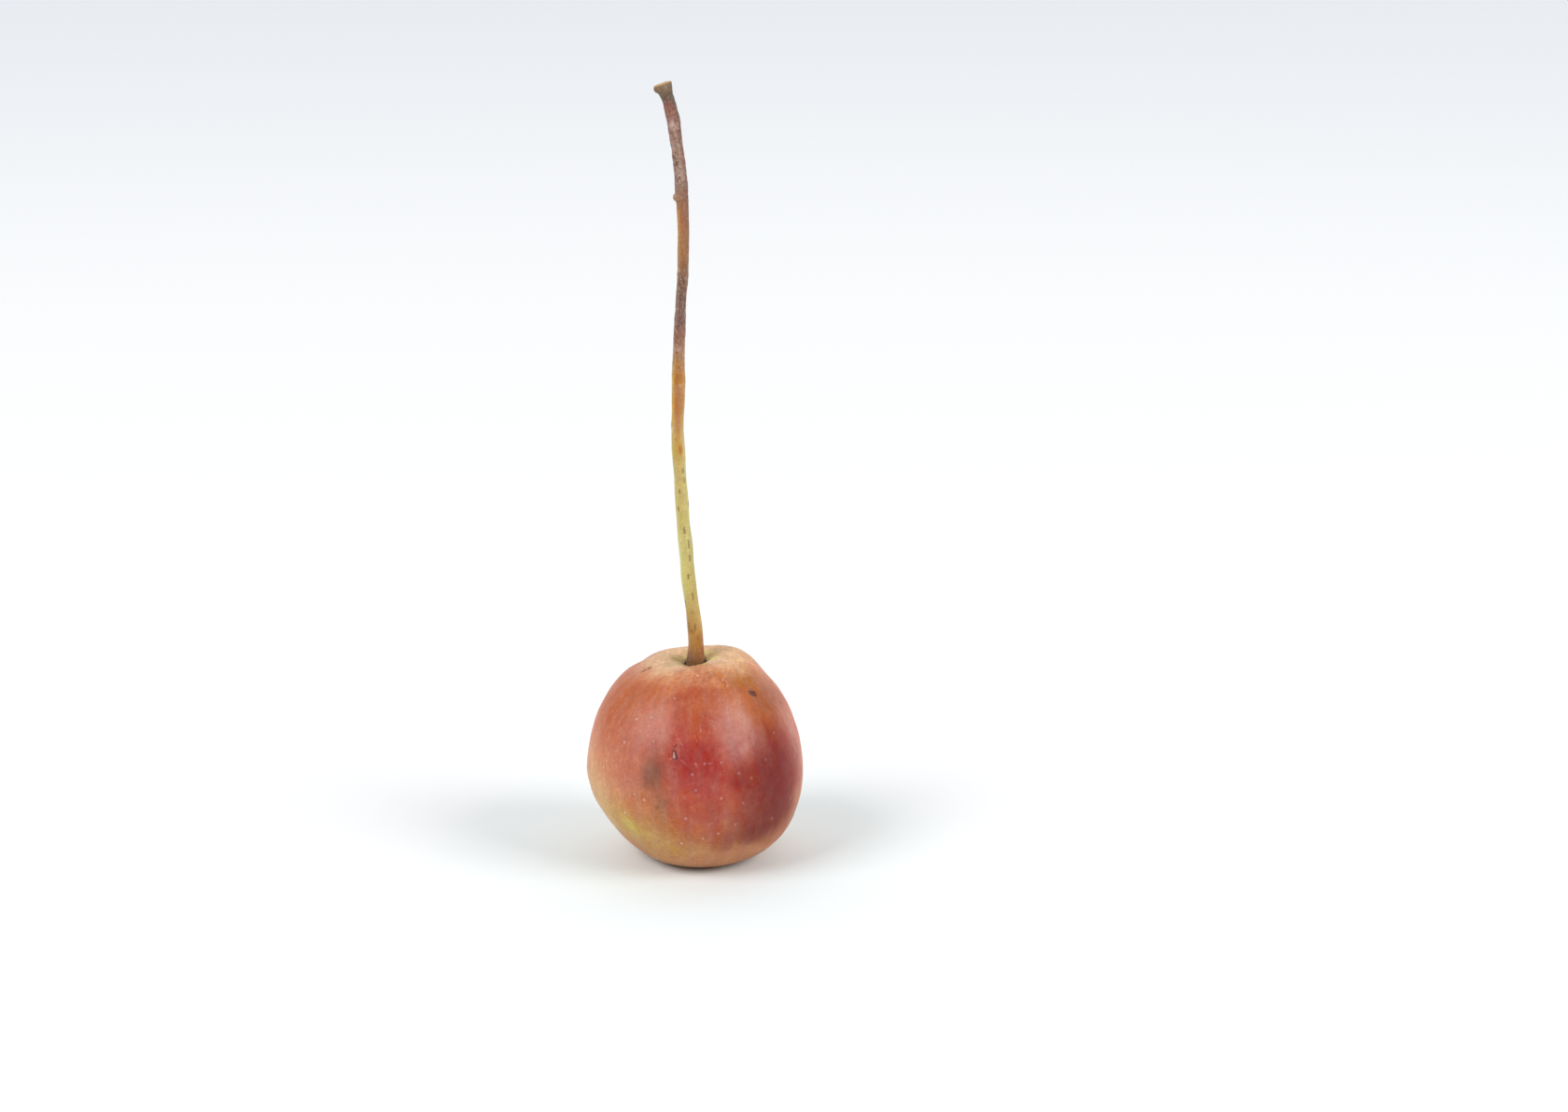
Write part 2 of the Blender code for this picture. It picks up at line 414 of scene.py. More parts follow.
FRUIT_COLUMNS = 384
SEAT_ROWS, DISH_ROWS, UPPER_ROWS, LOWER_ROWS, REST_ROWS, BASIN_ROWS = 8, 26, 96, 90, 5, 24
HARD_ROWS = 6                         # of the hole, which keep their corners
EVENING_ROUNDS = 30


# %% The outline as rings
def quarter(rows, fullness, start, end):
    """From start to end, each (radius, height), on a quarter of a rounded square that leaves start upright.

    With t from 0 to a right angle, the radius is r1 + (r0 - r1) * cos(t)^(2/n) and the height is
    z0 + (z1 - z0) * sin(t)^(2/n), where n is the fullness: 2 gives an ellipse.
    """
    t = np.linspace(0, np.pi / 2, rows)[:, None] * np.ones(FRUIT_COLUMNS)
    out, up = np.clip(np.cos(t), 0, 1) ** (2 / fullness), np.sin(t) ** (2 / fullness)
    return np.stack([end[0] + (start[0] - end[0]) * out, start[1] + (end[1] - start[1]) * up], -1)


def straight(rows, start, end):
    """From start to end in a line."""
    share = np.linspace(0, 1, rows)[:, None, None] * np.ones((1, FRUIT_COLUMNS, 1))
    return np.array(start) + (np.array(end) - np.array(start)) * share


turn = round_turn(FRUIT_COLUMNS)
rightward = np.sin(turn)
seat_top = FRUIT_HEIGHT - DISH_DEPTH
seat_floor = seat_top - SEAT_DEPTH
widest, rim = (FRUIT_RADIUS, WIDEST_HEIGHT), (RIM_RADIUS, FRUIT_HEIGHT)
stretches = [
    straight(3, (0.3 * SEAT_RADIUS, seat_floor), (SEAT_RADIUS, seat_floor)),
    straight(SEAT_ROWS, (SEAT_RADIUS, seat_floor), (SEAT_RADIUS, seat_top)),
    quarter(DISH_ROWS, 2.0, (SEAT_RADIUS, seat_top), rim),
    quarter(UPPER_ROWS, UPPER_FULLNESS + UPPER_SKEW * rightward, widest, rim)[::-1],
    quarter(LOWER_ROWS, LOWER_FULLNESS + LOWER_SKEW * rightward, widest, (REST_RADIUS, 0.0)),
    straight(REST_ROWS, (REST_RADIUS, 0.0), (BASIN_RADIUS, 0.0)),
    quarter(BASIN_ROWS, 2.0, (BASIN_RADIUS, 0.0), (0.1, BASIN_DEPTH)),
]
outline = np.concatenate([stretches[0]] + [stretch[1:] for stretch in stretches[1:]])

# Where two stretches meet, the bend is evened out: each ring moves to the mean of itself and its neighbours.
for _ in range(EVENING_ROUNDS):
    before, after = outline[HARD_ROWS - 1:-2], outline[HARD_ROWS + 1:]
    outline[HARD_ROWS:-1] = (before + 2 * outline[HARD_ROWS:-1] + after) / 4
radius, height = outline[..., 0], outline[..., 1]
shoulder = step(0, 1, (height - WIDEST_HEIGHT) / (FRUIT_HEIGHT - WIDEST_HEIGHT))
height = height + RIM_LEAN * shoulder * np.clip(radius / RIM_RADIUS, 0, 1) * rightward
skin = on_rings(radius, turn, height)
print(f"the skin has {skin.shape[0]} rings of {skin.shape[1]} points")

# %% [markdown]
# ## Relief on the skin
#
# No two cheeks of a real fruit are alike. The skin swells and sinks by less than a tenth of a millimetre over
# several millimetres, which is what breaks up the gleam of the soft boxes. Lower down five faint ribs run to
# the five sepals, and creases run into the dish where the stem pulls at the skin. Wounds and bruises are
# small hollows. All of this moves the points along the skin's normals, so it is real shape, seen also at the
# edge.

# %% Normals, and places on the skin
def outward(grid):
    """Unit normals of a wrapped grid: the way round the ring, crossed with the way to the next ring."""
    around = np.roll(grid, -1, axis=1) - np.roll(grid, 1, axis=1)
    normal = unit(np.cross(around, np.gradient(grid, axis=0)))
    middle = grid.mean(axis=1, keepdims=True)
    return normal if (normal * (grid - middle)).sum() > 0 else -normal


CREST_ROW = 2 + (SEAT_ROWS - 1) + (DISH_ROWS - 1)
REST_ROW = CREST_ROW + (UPPER_ROWS - 1) + (LOWER_ROWS - 1)
normals = outward(skin)


def skin_point(at):
    """The row and column of the outer skin's point nearest to at = (degrees round from the front, height)."""
    gap = np.hypot(way_round(turn, at[0]) * radius, height - at[1])[CREST_ROW:REST_ROW]
    row, column = np.unravel_index(gap.argmin(), gap.shape)
    return row + CREST_ROW, column


def spot(at, size, lean=0.0, edge=2.0, ragged=0.0):
    """A soft oval on the skin: 1 at its middle, 1/e at its edge, which is harder for a larger `edge`.

    The share is exp(-(u^2 + v^2)^(edge/2)). u and v are the distances to the right and up, in half-widths and
    half-heights. lean turns the oval, in degrees. ragged is a share for each point, by which its u and v are
    stretched, so the oval's edge runs in and out.
    """
    here = skin_point(at)
    facing = normals[here]
    east = unit(np.cross((0, 0, 1), facing))
    north = np.cross(facing, east)
    offset = skin - skin[here]
    c, s = math.cos(math.radians(lean)), math.sin(math.radians(lean))
    u = (offset @ east * c + offset @ north * s) / size[0]
    v = (offset @ north * c - offset @ east * s) / size[1]
    return np.exp(-((u * u + v * v) * (1 + ragged) ** 2) ** (edge / 2)) * step(0.0, 0.35, normals @ facing)


# %% Swells, ribs, creases and hollows
free = step(0.4, 2.2, height) * step(SEAT_RADIUS, SEAT_RADIUS + 0.8, radius)   # none at the rest and the stem
swells = 0.075 * waves(skin, 9.0, 3) + 0.014 * waves(skin, 2.6, 4) + 0.004 * waves(skin, 0.9, 5)
ribs = 0.08 * np.cos(5 * turn + 0.6) * step(7.0, 2.0, height)

ring = on_rings(1, turn, 0, forward=1)
off_stem = step(SEAT_RADIUS - 0.1, SEAT_RADIUS + 0.3, radius)
in_dish = step(16.0, 16.8, height) * off_stem * step(2.6, 1.3, radius)
creases = np.clip(waves(ring, 0.55, 6) + waves(ring, 0.25, 7), 0, None)
relief = free * (swells + ribs) - 0.05 * in_dish * creases

HOLLOWS = [   # what it is, place, half-width and half-height, lean, depth (a swelling has a depth below 0)
    ("cheek pulled in, upper right", (92, 15.5), (5, 1.8), 0, 0.36),
    ("cheek pulled in, upper left", (-98, 16.2), (3.5, 0.8), 0, 0.2),
    ("swelling, left cheek", (-80, 12.4), (4, 1.6), 0, -0.07),
    ("cheek pulled in, lower left", (-58, 3), (5, 2.4), 0, 0.3),
    ("fuller crest, right and behind", (125, 17.4), (2.2, 0.9), 0, -0.12),
    ("lip of the dish, right", (45, 17.2), (1.1, 0.6), 0, -0.1),
    ("ridge between the gleams", (0, 13.6), (0.9, 2.6), 0, -0.03),
    ("bruise", (-22, 9.8), (1.1, 1.7), -10, 0.05),
    ("wound", (-10.3, 11.5), (0.22, 0.4), -12, 0.15),
    ("wound's raised lip", (-10.3, 11.5), (0.48, 0.66), -12, -0.05),
    ("crack above the wound", (-9.6, 12.2), (0.1, 0.28), -20, 0.04),
    ("sunk dark spot", (53, 15.5), (0.24, 0.3), 0, 0.07),
    ("scar on the shoulder", (-69, 16.6), (0.5, 0.13), 20, 0.05),
]
for _, at, size, lean, depth in HOLLOWS:
    relief -= depth * spot(at, size, lean)

skin = skin + normals * relief[..., None]
SEAT_SHIFT = 0.11                     # the stem leaves the fruit a little to the right of its middle
skin[..., 0] += SEAT_SHIFT * step(3.0, 1.2, radius) * step(10.0, 14.0, height)
lowest = skin[..., 2].min(axis=0)
skin[..., 2] -= lowest * step(3.0, 0.5, skin[..., 2])   # the ring round the eye is set down on the floor
normals = outward(skin)
fruit = closed_piece("crab_apple_fruit", [skin])
print(f"the relief goes from {relief.min():.2f} to {relief.max():.2f} mm")

# %% [markdown]
# ## Colours painted on the skin
#
# A crab apple ripens from a yellow-green ground through orange to red, where the sun reaches it. It is
# painted in that order: first the ground, by height, then soft ovals of colour with ragged edges, one over
# the other, as a painter would lay washes. Some of this is painted light: shade in the crease round the
# stem's foot and, partly, on the dark right flank, and pale highlights where the soft boxes gleam. Each
# point of the skin keeps its colour. The nodes then break it up into streaks and grain, which are much finer
# than the points.

# %% The ground and the blush
GROUND = [   # height, colour
    (0, (176, 118, 76)), (2.2, (192, 128, 80)), (4.5, (200, 140, 84)), (9, (204, 132, 80)),
    (13, (202, 112, 62)), (15.3, (200, 116, 68)), (16.7, (206, 132, 88)), (17.7, (212, 150, 106)),
]
tint = smooth_through([(z, *linear(*rgb)) for z, rgb in GROUND], height)

WASHES = [   # what it is, place, half-width and half-height, lean, edge, colour, strength
    ("green ground behind", (175, 6.5), (6, 5.5), 0, 2.2, (188, 158, 78), 0.75),
    ("warm side, left and behind", (-125, 10.5), (6, 4.5), 0, 2, (204, 118, 62), 0.6),
    ("warm side, right and behind", (120, 9.5), (6.5, 5), 0, 2, (184, 74, 48), 0.7),
    ("orange, left", (-72, 13.6), (4.4, 3.2), 0, 2.4, (180, 84, 20), 0.9),
    ("tan, low left", (-66, 6), (2.4, 3.4), 0, 2.2, (210, 164, 114), 0.85),
    ("yellow-green, low left", (-36, 3.9), (4.1, 2.3), -25, 2.4, (196, 174, 74), 0.95),
    ("blush over the front", (8, 9.6), (6.4, 5.4), 0, 3, (176, 68, 56), 0.92),
    ("blush to the right", (55, 8.5), (4.5, 5), 0, 2.6, (160, 48, 34), 0.85),
    ("blush, left of the front", (-30, 11.8), (3.2, 2.8), 0, 2.2, (186, 94, 78), 0.7),
    ("paler left cheek", (-40, 10.6), (2.8, 3.6), 0, 2.4, (198, 124, 94), 0.5),
    ("deep red heart", (2, 10.9), (3, 2.2), 0, 2.6, (160, 48, 42), 0.88),
    ("red streak to the shoulder", (-8, 14), (0.7, 1.7), 0, 2.6, (172, 44, 36), 0.7),
    # The next two washes are partly the skin's own dark red and partly painted shade, on the right flank and
    # low on the right.
    ("dark red and painted shade, right flank", (50, 8.3), (3.8, 5), 0, 2.8, (116, 12, 0), 0.96),
    ("dark red and painted shade, lower right", (40, 4.8), (3.7, 2.4), 0, 2.4, (104, 20, 0), 0.92),
    ("golden shoulder, right", (62, 14.6), (3.4, 2.2), 0, 2.6, (156, 74, 4), 0.92),
    ("golden top, right", (50, 16.4), (2.4, 1), 0, 2.2, (164, 92, 14), 0.9),
    ("orange band under the rim, left", (-48, 15.5), (4.4, 1.1), 8, 2.6, (184, 90, 40), 0.85),
    ("orange band under the rim, front", (8, 15.8), (3.2, 1.2), 0, 2.6, (174, 78, 50), 0.85),
    ("orange crest, front", (4, 17), (1.8, 0.6), 0, 2.2, (186, 104, 62), 0.6),
    ("paler streaks, upper right", (26, 14.9), (2.6, 1.4), 0, 2.4, (196, 122, 82), 0.5),
    ("crest, right of the front", (24, 16.9), (1.5, 0.7), 0, 2.2, (184, 108, 60), 0.45),
    ("blush between the gleams", (10, 14.2), (1.7, 1.3), 0, 2.4, (168, 66, 42), 0.8),
    ("brown-red, low front", (4, 5.6), (4.2, 2.2), 0, 2.4, (178, 78, 54), 0.6),
    ("ochre, low left of the front", (-18, 3.6), (2, 1.6), 0, 2.2, (190, 134, 76), 0.7),
    ("ochre edge at the rest", (5, 1.6), (6.5, 1.1), 0, 2.4, (188, 122, 74), 0.75),
    ("red streaks, behind left", (-150, 12.6), (1.8, 3), 10, 2.2, (188, 76, 48), 0.7),
    ("red streaks, behind right", (158, 11.4), (1.3, 3.6), -6, 2.2, (176, 66, 44), 0.65),
    ("blush, behind", (-172, 13.4), (1.6, 1.8), 0, 2.2, (196, 96, 56), 0.6),
    ("golden ground, behind", (-160, 7), (2.4, 2.2), 0, 2.2, (206, 158, 80), 0.6),
    ("russet, behind", (138, 5.2), (1.1, 0.7), 20, 2.6, (150, 104, 66), 0.6),
    ("bruise", (-22, 9.8), (0.95, 1.6), -10, 2, (110, 82, 62), 0.68),
    ("bruise's tail", (-17, 7), (0.7, 1.7), 0, 2, (140, 106, 74), 0.5),
    ("dark dot in the bruise's tail", (-18.5, 7.1), (0.26, 0.2), 0, 2.4, (116, 70, 46), 0.6),
    ("second dark dot", (-13.8, 7.7), (0.2, 0.2), 0, 2.4, (120, 64, 48), 0.4),
]
lengthwise = on_rings(FRUIT_RADIUS, turn, 0.3 * height, forward=1)
ragged = 0.10 * waves(lengthwise, 1.7, 15) + 0.07 * waves(skin, 2.4, 16)
for _, at, size, lean, edge, rgb, strength in WASHES:
    tint = laid_over(tint, strength * spot(at, size, lean, edge, ragged), linear(*rgb))
print(f"{len(WASHES)} washes of colour on {tint.shape[0] * tint.shape[1]} points")

# %% The rim, the dish and the seat
behind_or_aside = step(8, 60, np.abs(np.degrees(turn) - 8 + 12 * waves(ring, 0.6, 12)))
on_rim = step(16.0, 16.9, height) * step(5.8, 3.2, radius + 0.45 * waves(skin, 1.6, 8))
tint = laid_over(tint, 0.85 * on_rim * behind_or_aside, linear(222, 178, 130))
in_dish = step(16.2, 16.6, height) * step(2.7, 1.4, radius + 0.3 * waves(skin, 1.2, 9))
dish_colour = laid_over(linear(168, 142, 80), step(-0.6, 0.6, rightward), linear(216, 192, 112))
tint = laid_over(tint, 0.75 * in_dish, dish_colour)
russet = step(15.6, 16.8, height) * (waves(skin, 0.42, 13) + 0.6 * waves(skin, 1.3, 14))
tint = tint * (1 + 0.10 * russet[..., None] * np.array((0.7, 1.0, 1.3)))
# Painted shade: dark brown in the crease where the skin meets the stem, and down the hole that the stem
# stands in.
crease_shade = step(16.0, 16.5, height) * step(1.35, 0.95, radius + 0.12 * creases)
seat_shade = step(1.0, 0.9, radius) * step(14.0, 15.0, height)
tint = laid_over(tint, np.maximum(0.8 * crease_shade, seat_shade), linear(74, 52, 30))

# Painted highlights: pale pink is laid over the skin's colour where the left and right soft boxes gleam on
# the front, and a painted reflection of the pale room runs down the right edge.
PAINTED_HIGHLIGHTS = [   # place, half-width and half-height, edge, strength
    ((-25, 13.8), (1.9, 2.4), 2, 0.25), ((28, 12.9), (2.2, 2.3), 4, 0.4), ((80, 11.5), (1.2, 3.6), 2, 0.5),
]
painted_highlight = np.max([strength * spot(at, size, 0, edge) for at, size, edge, strength in PAINTED_HIGHLIGHTS], axis=0)
paint(fruit, "tint", tint)
paint(fruit, "painted_highlight", painted_highlight)
paint(fruit, "front", step(80, 60, np.abs(np.degrees(turn))) * np.ones_like(height))
print(f"the wax has its bloom on {(painted_highlight > 0.1).mean():.0%} of the points")

# %% [markdown]
# ## Two effects that both skins share
#
# Fruit and stem are both drawn lengthwise as they grow, so both have a grain that runs from end to end, and
# both have marks that are short strokes or dots: pores, scratches, scars. Each effect is one node group with
# its own inputs, used by both materials with their own values.

# %% A group for grain, and a group for one stroke
def new_group(name, places, numbers, output):
    """An empty group with its named inputs, and one output: the group, what it is given, and its result."""
    group = bpy.data.node_groups.new(name, "ShaderNodeTree")
    for socket in places:
        group.interface.new_socket(socket, in_out="INPUT", socket_type="NodeSocketVector")
    for socket in numbers:
        group.interface.new_socket(socket, in_out="INPUT", socket_type="NodeSocketFloat")
    group.interface.new_socket(output, in_out="OUTPUT", socket_type="NodeSocketFloat")
    return group, group.nodes.new("NodeGroupInput").outputs, group.nodes.new("NodeGroupOutput")


grain, given, result = new_group("lengthwise_grain", ["Place"], ["Around", "Along", "Detail"], "Grain")
facing = vectors("NORMALIZE", vectors("MULTIPLY", given["Place"], (1.0, 1.0, 0.0)))
up = vectors("MULTIPLY", given["Place"], (0.0, 0.0, 1.0))
drawn_out = vectors("ADD", scaled(facing, given["Around"]), scaled(up, given["Along"]))
noise = add(grain, "TexNoise", {"Vector": drawn_out, "Scale": 1.0, "Detail": given["Detail"],
                                          "Roughness": 0.6})
fill(result, {"Grain": noise.outputs["Fac"]})

stroke, given, result = new_group("stroke", ["Place", "Start", "End"], ["Width", "Softness"], "Mask")
line = vectors("SUBTRACT", given["End"], given["Start"])
reach = vectors("SUBTRACT", given["Place"], given["Start"])
length_squared = plus(vectors("DOT_PRODUCT", line, line), 1e-9)
share_of_line = maths("DIVIDE", vectors("DOT_PRODUCT", reach, line), length_squared, clamp=True)
gap = vectors("DISTANCE", reach, scaled(line, share_of_line))
hard_core = times(given["Width"], minus(1.0, given["Softness"]))
fill(result, {"Mask": ranged(gap, hard_core, given["Width"], 1.0, 0.0)})


def grouped(group, place, **values):
    """A group's output in a material, with a place and its own values."""
    return add(place.id_data, "Group", {"Place": place, **values}, node_tree=group).outputs[0]


def grain_of(place, around, along, detail=3.0):
    """Lengthwise grain in a material."""
    return grouped(grain, place, Around=around, Along=along, Detail=detail)


def strokes_of(place, strokes, softness):
    """The strongest of several strokes, each (start, end, half-width), as one mask."""
    strongest = 0.0
    for start, end, width in strokes:
        mask = grouped(stroke, place, Start=start, End=end, Width=width, Softness=softness)
        strongest = maths("MAXIMUM", mask, strongest)
    return strongest


def strokes_on(find, strokes):
    """The same strokes, with find(start) and find(end) in their place."""
    return [(find(start), find(end), width) for start, end, width in strokes]


def place_in_mm(tree):
    """Object coordinates, in millimetres."""
    return scaled(add(tree, "TexCoord").outputs["Object"], 1 / MM)


def painted(tree, name, output="Fac"):
    """What the piece was painted with: its number, or its Color."""
    return add(tree, "Attribute", attribute_name=name).outputs[output]


def noise_node(place, size, detail, **inputs):
    """A noise node whose lumps are about `size` millimetres."""
    inputs = {"Vector": place, "Scale": 1 / size, "Detail": detail, **inputs}
    return add(place.id_data, "TexNoise", inputs)


def noise_of(place, size, detail=2.0, roughness=0.5):
    """Plain noise, from 0 to 1."""
    return noise_node(place, size, detail, Roughness=roughness).outputs["Fac"]


def pushed(place, size, way):
    """Places pushed about: place + way * (noise - 0.5), with another noise for each coordinate."""
    push = vectors("SUBTRACT", noise_node(place, size, 2.0).outputs["Color"], (0.5, 0.5, 0.5))
    return vectors("ADD", place, vectors("MULTIPLY", push, (way, way, way)))


print("groups:", ", ".join(group.name for group in bpy.data.node_groups))

# %% [markdown]
# ## The skin's finish
#
# The painted tint is broken up by grain that runs from stem to eye. Over it lie the pores, which are pale
# dots about 0.3 mm across with a darker ring, and the marks of a season outdoors: hairline scratches, a small
# wound whose pale core is a painted glint, a dark scar on the shoulder. Those on the front have chosen
# places.
# Behind, pores fall where a Voronoi pattern puts them. A thin wax coat lies on top, a little rougher where
# pale highlights are painted into the skin's colour.

# %% Pores and scratches, as places on the skin
def on_skin(at):
    """The point of the skin at (degrees, height), in millimetres, as plain numbers."""
    return skin[skin_point(at)].tolist()


PORES = [
    (6, 17), (30, 16.7), (-38, 13.8), (-28, 14.2), (-48, 12.9), (-42, 12), (-23, 12.5), (-32, 8), (-26, 7.6),
    (0, 10.1), (2, 8.8), (15, 8), (25, 9.9), (33, 9.3), (27, 7.3), (-4, 6.3), (-40, 5.9), (23, 5.4),
    (14, 4.7), (6, 4.3), (-7, 3.8), (56, 12.2), (44, 10.5), (16, 11), (7, 10.9), (-56, 9.4), (-52, 6.6),
    (62, 6.4), (48, 5.2), (-14, 15.6), (70, 9.6),
]
pore_sizes = np.random.default_rng(11).uniform(0.15, 0.25, len(PORES)).tolist()
pores = strokes_on(on_skin, [(at, at, size) for at, size in zip(PORES, pore_sizes)])
SCRATCHES = [   # start, end, half-width
    ((-29, 13), (-28, 13.6), 0.08), ((-27, 12.7), (-26.5, 13.3), 0.07), ((-7, 11.2), (-4, 11), 0.09),
    ((-4, 11), (-2.5, 10.8), 0.1), ((1.5, 10.9), (2.5, 10.7), 0.14), ((8.5, 11), (10.5, 11), 0.12),
    ((-8.5, 11.8), (-7.5, 11.4), 0.1), ((-12, 11.3), (-14, 10.9), 0.08), ((-8, 12.9), (-6, 12.4), 0.09),
    ((1, 13.2), (3, 12.7), 0.08), ((8, 12.9), (10, 13.5), 0.08), ((5, 13.9), (6, 13.3), 0.09),
    ((-3, 1.8), (1, 3), 0.07), ((44, 1.9), (49, 2.1), 0.09), ((-5, 8.4), (-4, 8.1), 0.1),
    ((12, 14.2), (15, 13.9), 0.1), ((33, 16.6), (32, 16.3), 0.18), ((6, 17), (7, 17), 0.12),
    ((31, 16.8), (30, 16.6), 0.16),
]
scratches = strokes_on(on_skin, SCRATCHES)
DARK_MARKS = [   # the scar, the dark spot, the wound and its cracks
    ((-69, 16.48), (-68.5, 16.54), 0.22), ((-68.5, 16.64), (-69, 16.7), 0.18), ((52, 15.56), (54, 15.4), 0.4),
    ((95, 15), (95, 14.9), 0.12), ((-10.4, 11.85), (-9.7, 11.35), 0.3), ((-9.4, 11.75), (-9.2, 11.5), 0.22),
    ((-9.6, 12.4), (-9.9, 12.25), 0.09),
]
dark_marks = strokes_on(on_skin, DARK_MARKS)
# painted highlight: a pale stroke in the wound's core stands for a glint
painted_wound_glint = strokes_on(on_skin, [((-10.5, 11.75), (-10.3, 11.4), 0.13)])
print(f"{len(pores)} pores, {len(scratches)} scratches and {len(dark_marks)} dark marks have chosen places")

# %% The skin's own colour
skin_material, tree, shader = plain_material("ripe_skin")
place = place_in_mm(tree)
# the share of painted highlight at each point
highlight_share = painted(tree, "painted_highlight")

streaks = grain_of(place, 9.0, 0.45)
fine_streaks = grain_of(place, 30.0, 2.4)
mottle = noise_of(place, 0.8, 4.0, 0.65)
grit = noise_of(place, 0.22, 3.0, 0.7)
lightness = times(evenly(fine_streaks, 0.25, 0.75, 0.90, 1.09), evenly(grit, 0.2, 0.8, 0.80, 1.20))
varied = toned(painted(tree, "tint", "Color"), evenly(mottle, 0.25, 0.75, 0.493, 0.507),
               evenly(streaks, 0.25, 0.75, 0.90, 1.08),
               times(lightness, evenly(mottle, 0.25, 0.75, 0.92, 1.08)))

PALER = (0.5, 0.76, 1.36)             # wisps, pores and scratches: the skin's own hue, less vivid and lighter
wisp_gap = maths("ABSOLUTE", minus(noise_of(place, 1.3), 0.5))
wisps = times(ranged(wisp_gap, 0.0, 0.035, 1.0, 0.0), ranged(mottle, 0.45, 0.6, 0.0, 0.15))
varied = mixed(wisps, varied, toned(varied, *PALER))
# painted highlight: a pale pink, broken up by the mottle, laid over the colour where the gleams are painted
varied = mixed(times(highlight_share, evenly(mottle, 0.3, 0.7, 0.4, 1.5)), varied, colour(192, 140, 130))
print(f"{len(tree.nodes)} nodes for the skin's own colour")

# %% Its pores, scratches and wounds
PORE_GAP = 1.5                        # between the pores behind
cells = add(tree, "TexVoronoi", {"Vector": place, "Scale": 1 / PORE_GAP}, feature="F1")
cell_gap = times(cells.outputs["Distance"], PORE_GAP)
scattered = times(ranged(cell_gap, 0.0, 0.2, 1.0, 0.0), minus(1.0, painted(tree, "front")))
pore_mask = maths("MAXIMUM", strokes_of(place, pores, 1.0), scattered)
halo = strokes_of(place, [(start, end, 1.7 * width) for start, end, width in pores], 0.9)
pale_skin = toned(varied, *PALER)
marked = mixed(times(halo, 0.30), varied, colour(128, 44, 34))
marked = mixed(pore_mask, marked, pale_skin)

wandering = pushed(place, 0.45, 0.36)
scratch_mask = times(strokes_of(wandering, scratches, 1.0), ranged(grit, 0.3, 0.6, 0.2, 0.75))
dark_mask = times(strokes_of(wandering, dark_marks, 0.65), ranged(grit, 0.3, 0.6, 0.6, 0.85))
marked = mixed(scratch_mask, marked, pale_skin)
marked = mixed(dark_mask, marked, colour(72, 14, 8))
# the wound's painted glint, in pale pink
marked = mixed(times(strokes_of(wandering, painted_wound_glint, 0.8), 0.8), marked, colour(214, 166, 154))
print(f"{len(tree.nodes)} nodes with its marks")

# %% Its wax and its bumps
raised = plus(times(noise_of(place, 0.24, 3.0), 0.022), times(pore_mask, 0.010))
raised = minus(raised, times(dark_mask, 0.02))
fill(shader, {
    "Base Color": marked,
    "Roughness": plus(evenly(mottle, 0.2, 0.8, 0.38, 0.46), times(highlight_share, 0.06)),
    "Normal": bumped(raised),
    "Specular IOR Level": 0.28,
    "Coat Weight": 0.06,
    "Coat Roughness": 0.25,
    "Subsurface Weight": 0.12,
    "Subsurface Radius": (1.0, 0.35, 0.2),
    "Subsurface Scale": 1.2 * MM,
})
fruit.data.materials.append(skin_material)
print(f"the skin's material has {len(tree.nodes)} nodes")

# %% [markdown]
# ## The stem
#
# The stem is a thin woody stalk, a millimetre thick and three times as long as the fruit is tall. It was the
# flower's stalk first, and it broke off the spur at a swollen end. A curve with a bevel would be the quick
# way. A ring of points that is carried along the same curve keeps every point named by how far up and how far
# round it is, so the ridges, the swellings and the scar of a fallen bud can be shaped and coloured where they
# belong.

# %% A profile carried along a path
def carried(path, section, side):
    """Rings along a path: each point is path + u * side + v * back, where (u, v) is the section's own point.

    back is the cross product of the way along the path and side, made of length one, and side is then turned
    square to both. The section has one ring of (u, v) for each point of the path.
    """
    ahead = unit(np.gradient(path, axis=0))
    back = unit(np.cross(ahead, side))
    square_side = np.cross(back, ahead)
    return path[:, None] + section[..., :1] * square_side[:, None] + section[..., 1:] * back[:, None]


STEM_FOOT = stem_low[2]
STEM_LENGTH = 50.0
STEM_BENDS = [   # share of the length, to the right, to the back
    (0, 0, 0), (0.04, 0.14, 0), (0.2, -0.56, 0.08), (0.34, -1.05, 0.24), (0.47, -1.23, 0.36),
    (0.58, -1.04, 0.4), (0.73, -0.65, 0.3), (0.86, -0.86, 0.22), (0.95, -1.47, 0.24), (0.978, -1.76, 0.3),
    (1, -2.12, 0.4),
]
STEM_THICKNESS = [   # share of the length, diameter
    (0, 1.55), (0.035, 1.45), (0.06, 1.3), (0.1, 1.18), (0.2, 1.1), (0.38, 1), (0.58, 0.95), (0.66, 0.8),
    (0.75, 0.92), (0.9, 0.96), (0.955, 1.03), (0.978, 1.08), (0.99, 1.24), (1, 1.38),
]
STEM_ROWS, STEM_COLUMNS = 860, 48

share = np.linspace(0, 1, STEM_ROWS)
stem_path = np.column_stack([smooth_through(STEM_BENDS, share), STEM_FOOT + STEM_LENGTH * share])
stem_radius = smooth_through(STEM_THICKNESS, share)[:, :1] / 2
stem_turn = round_turn(STEM_COLUMNS)[None]
stem_up = stem_path[:, 2:]

# %% Ridges, swellings and flaking bark
stem_place = on_rings(1, stem_turn, stem_up, forward=1)


def stem_waves(around, along, seed):
    """Unevenness on the stem whose lumps are `around` mm wide and `along` mm long."""
    return waves(stem_place * (0.5 / around, 0.5 / around, 1 / along), 1.0, seed)


def stem_spot(at, size, edge=2.0):
    """A soft oval on the stem: exp(-(u^2 + v^2)^(edge/2)), at (degrees round, height), size in mm."""
    apart = way_round(stem_turn, at[0]) * stem_radius
    return np.exp(-((apart / size[0]) ** 2 + ((stem_up - at[1]) / size[1]) ** 2) ** (edge / 2))


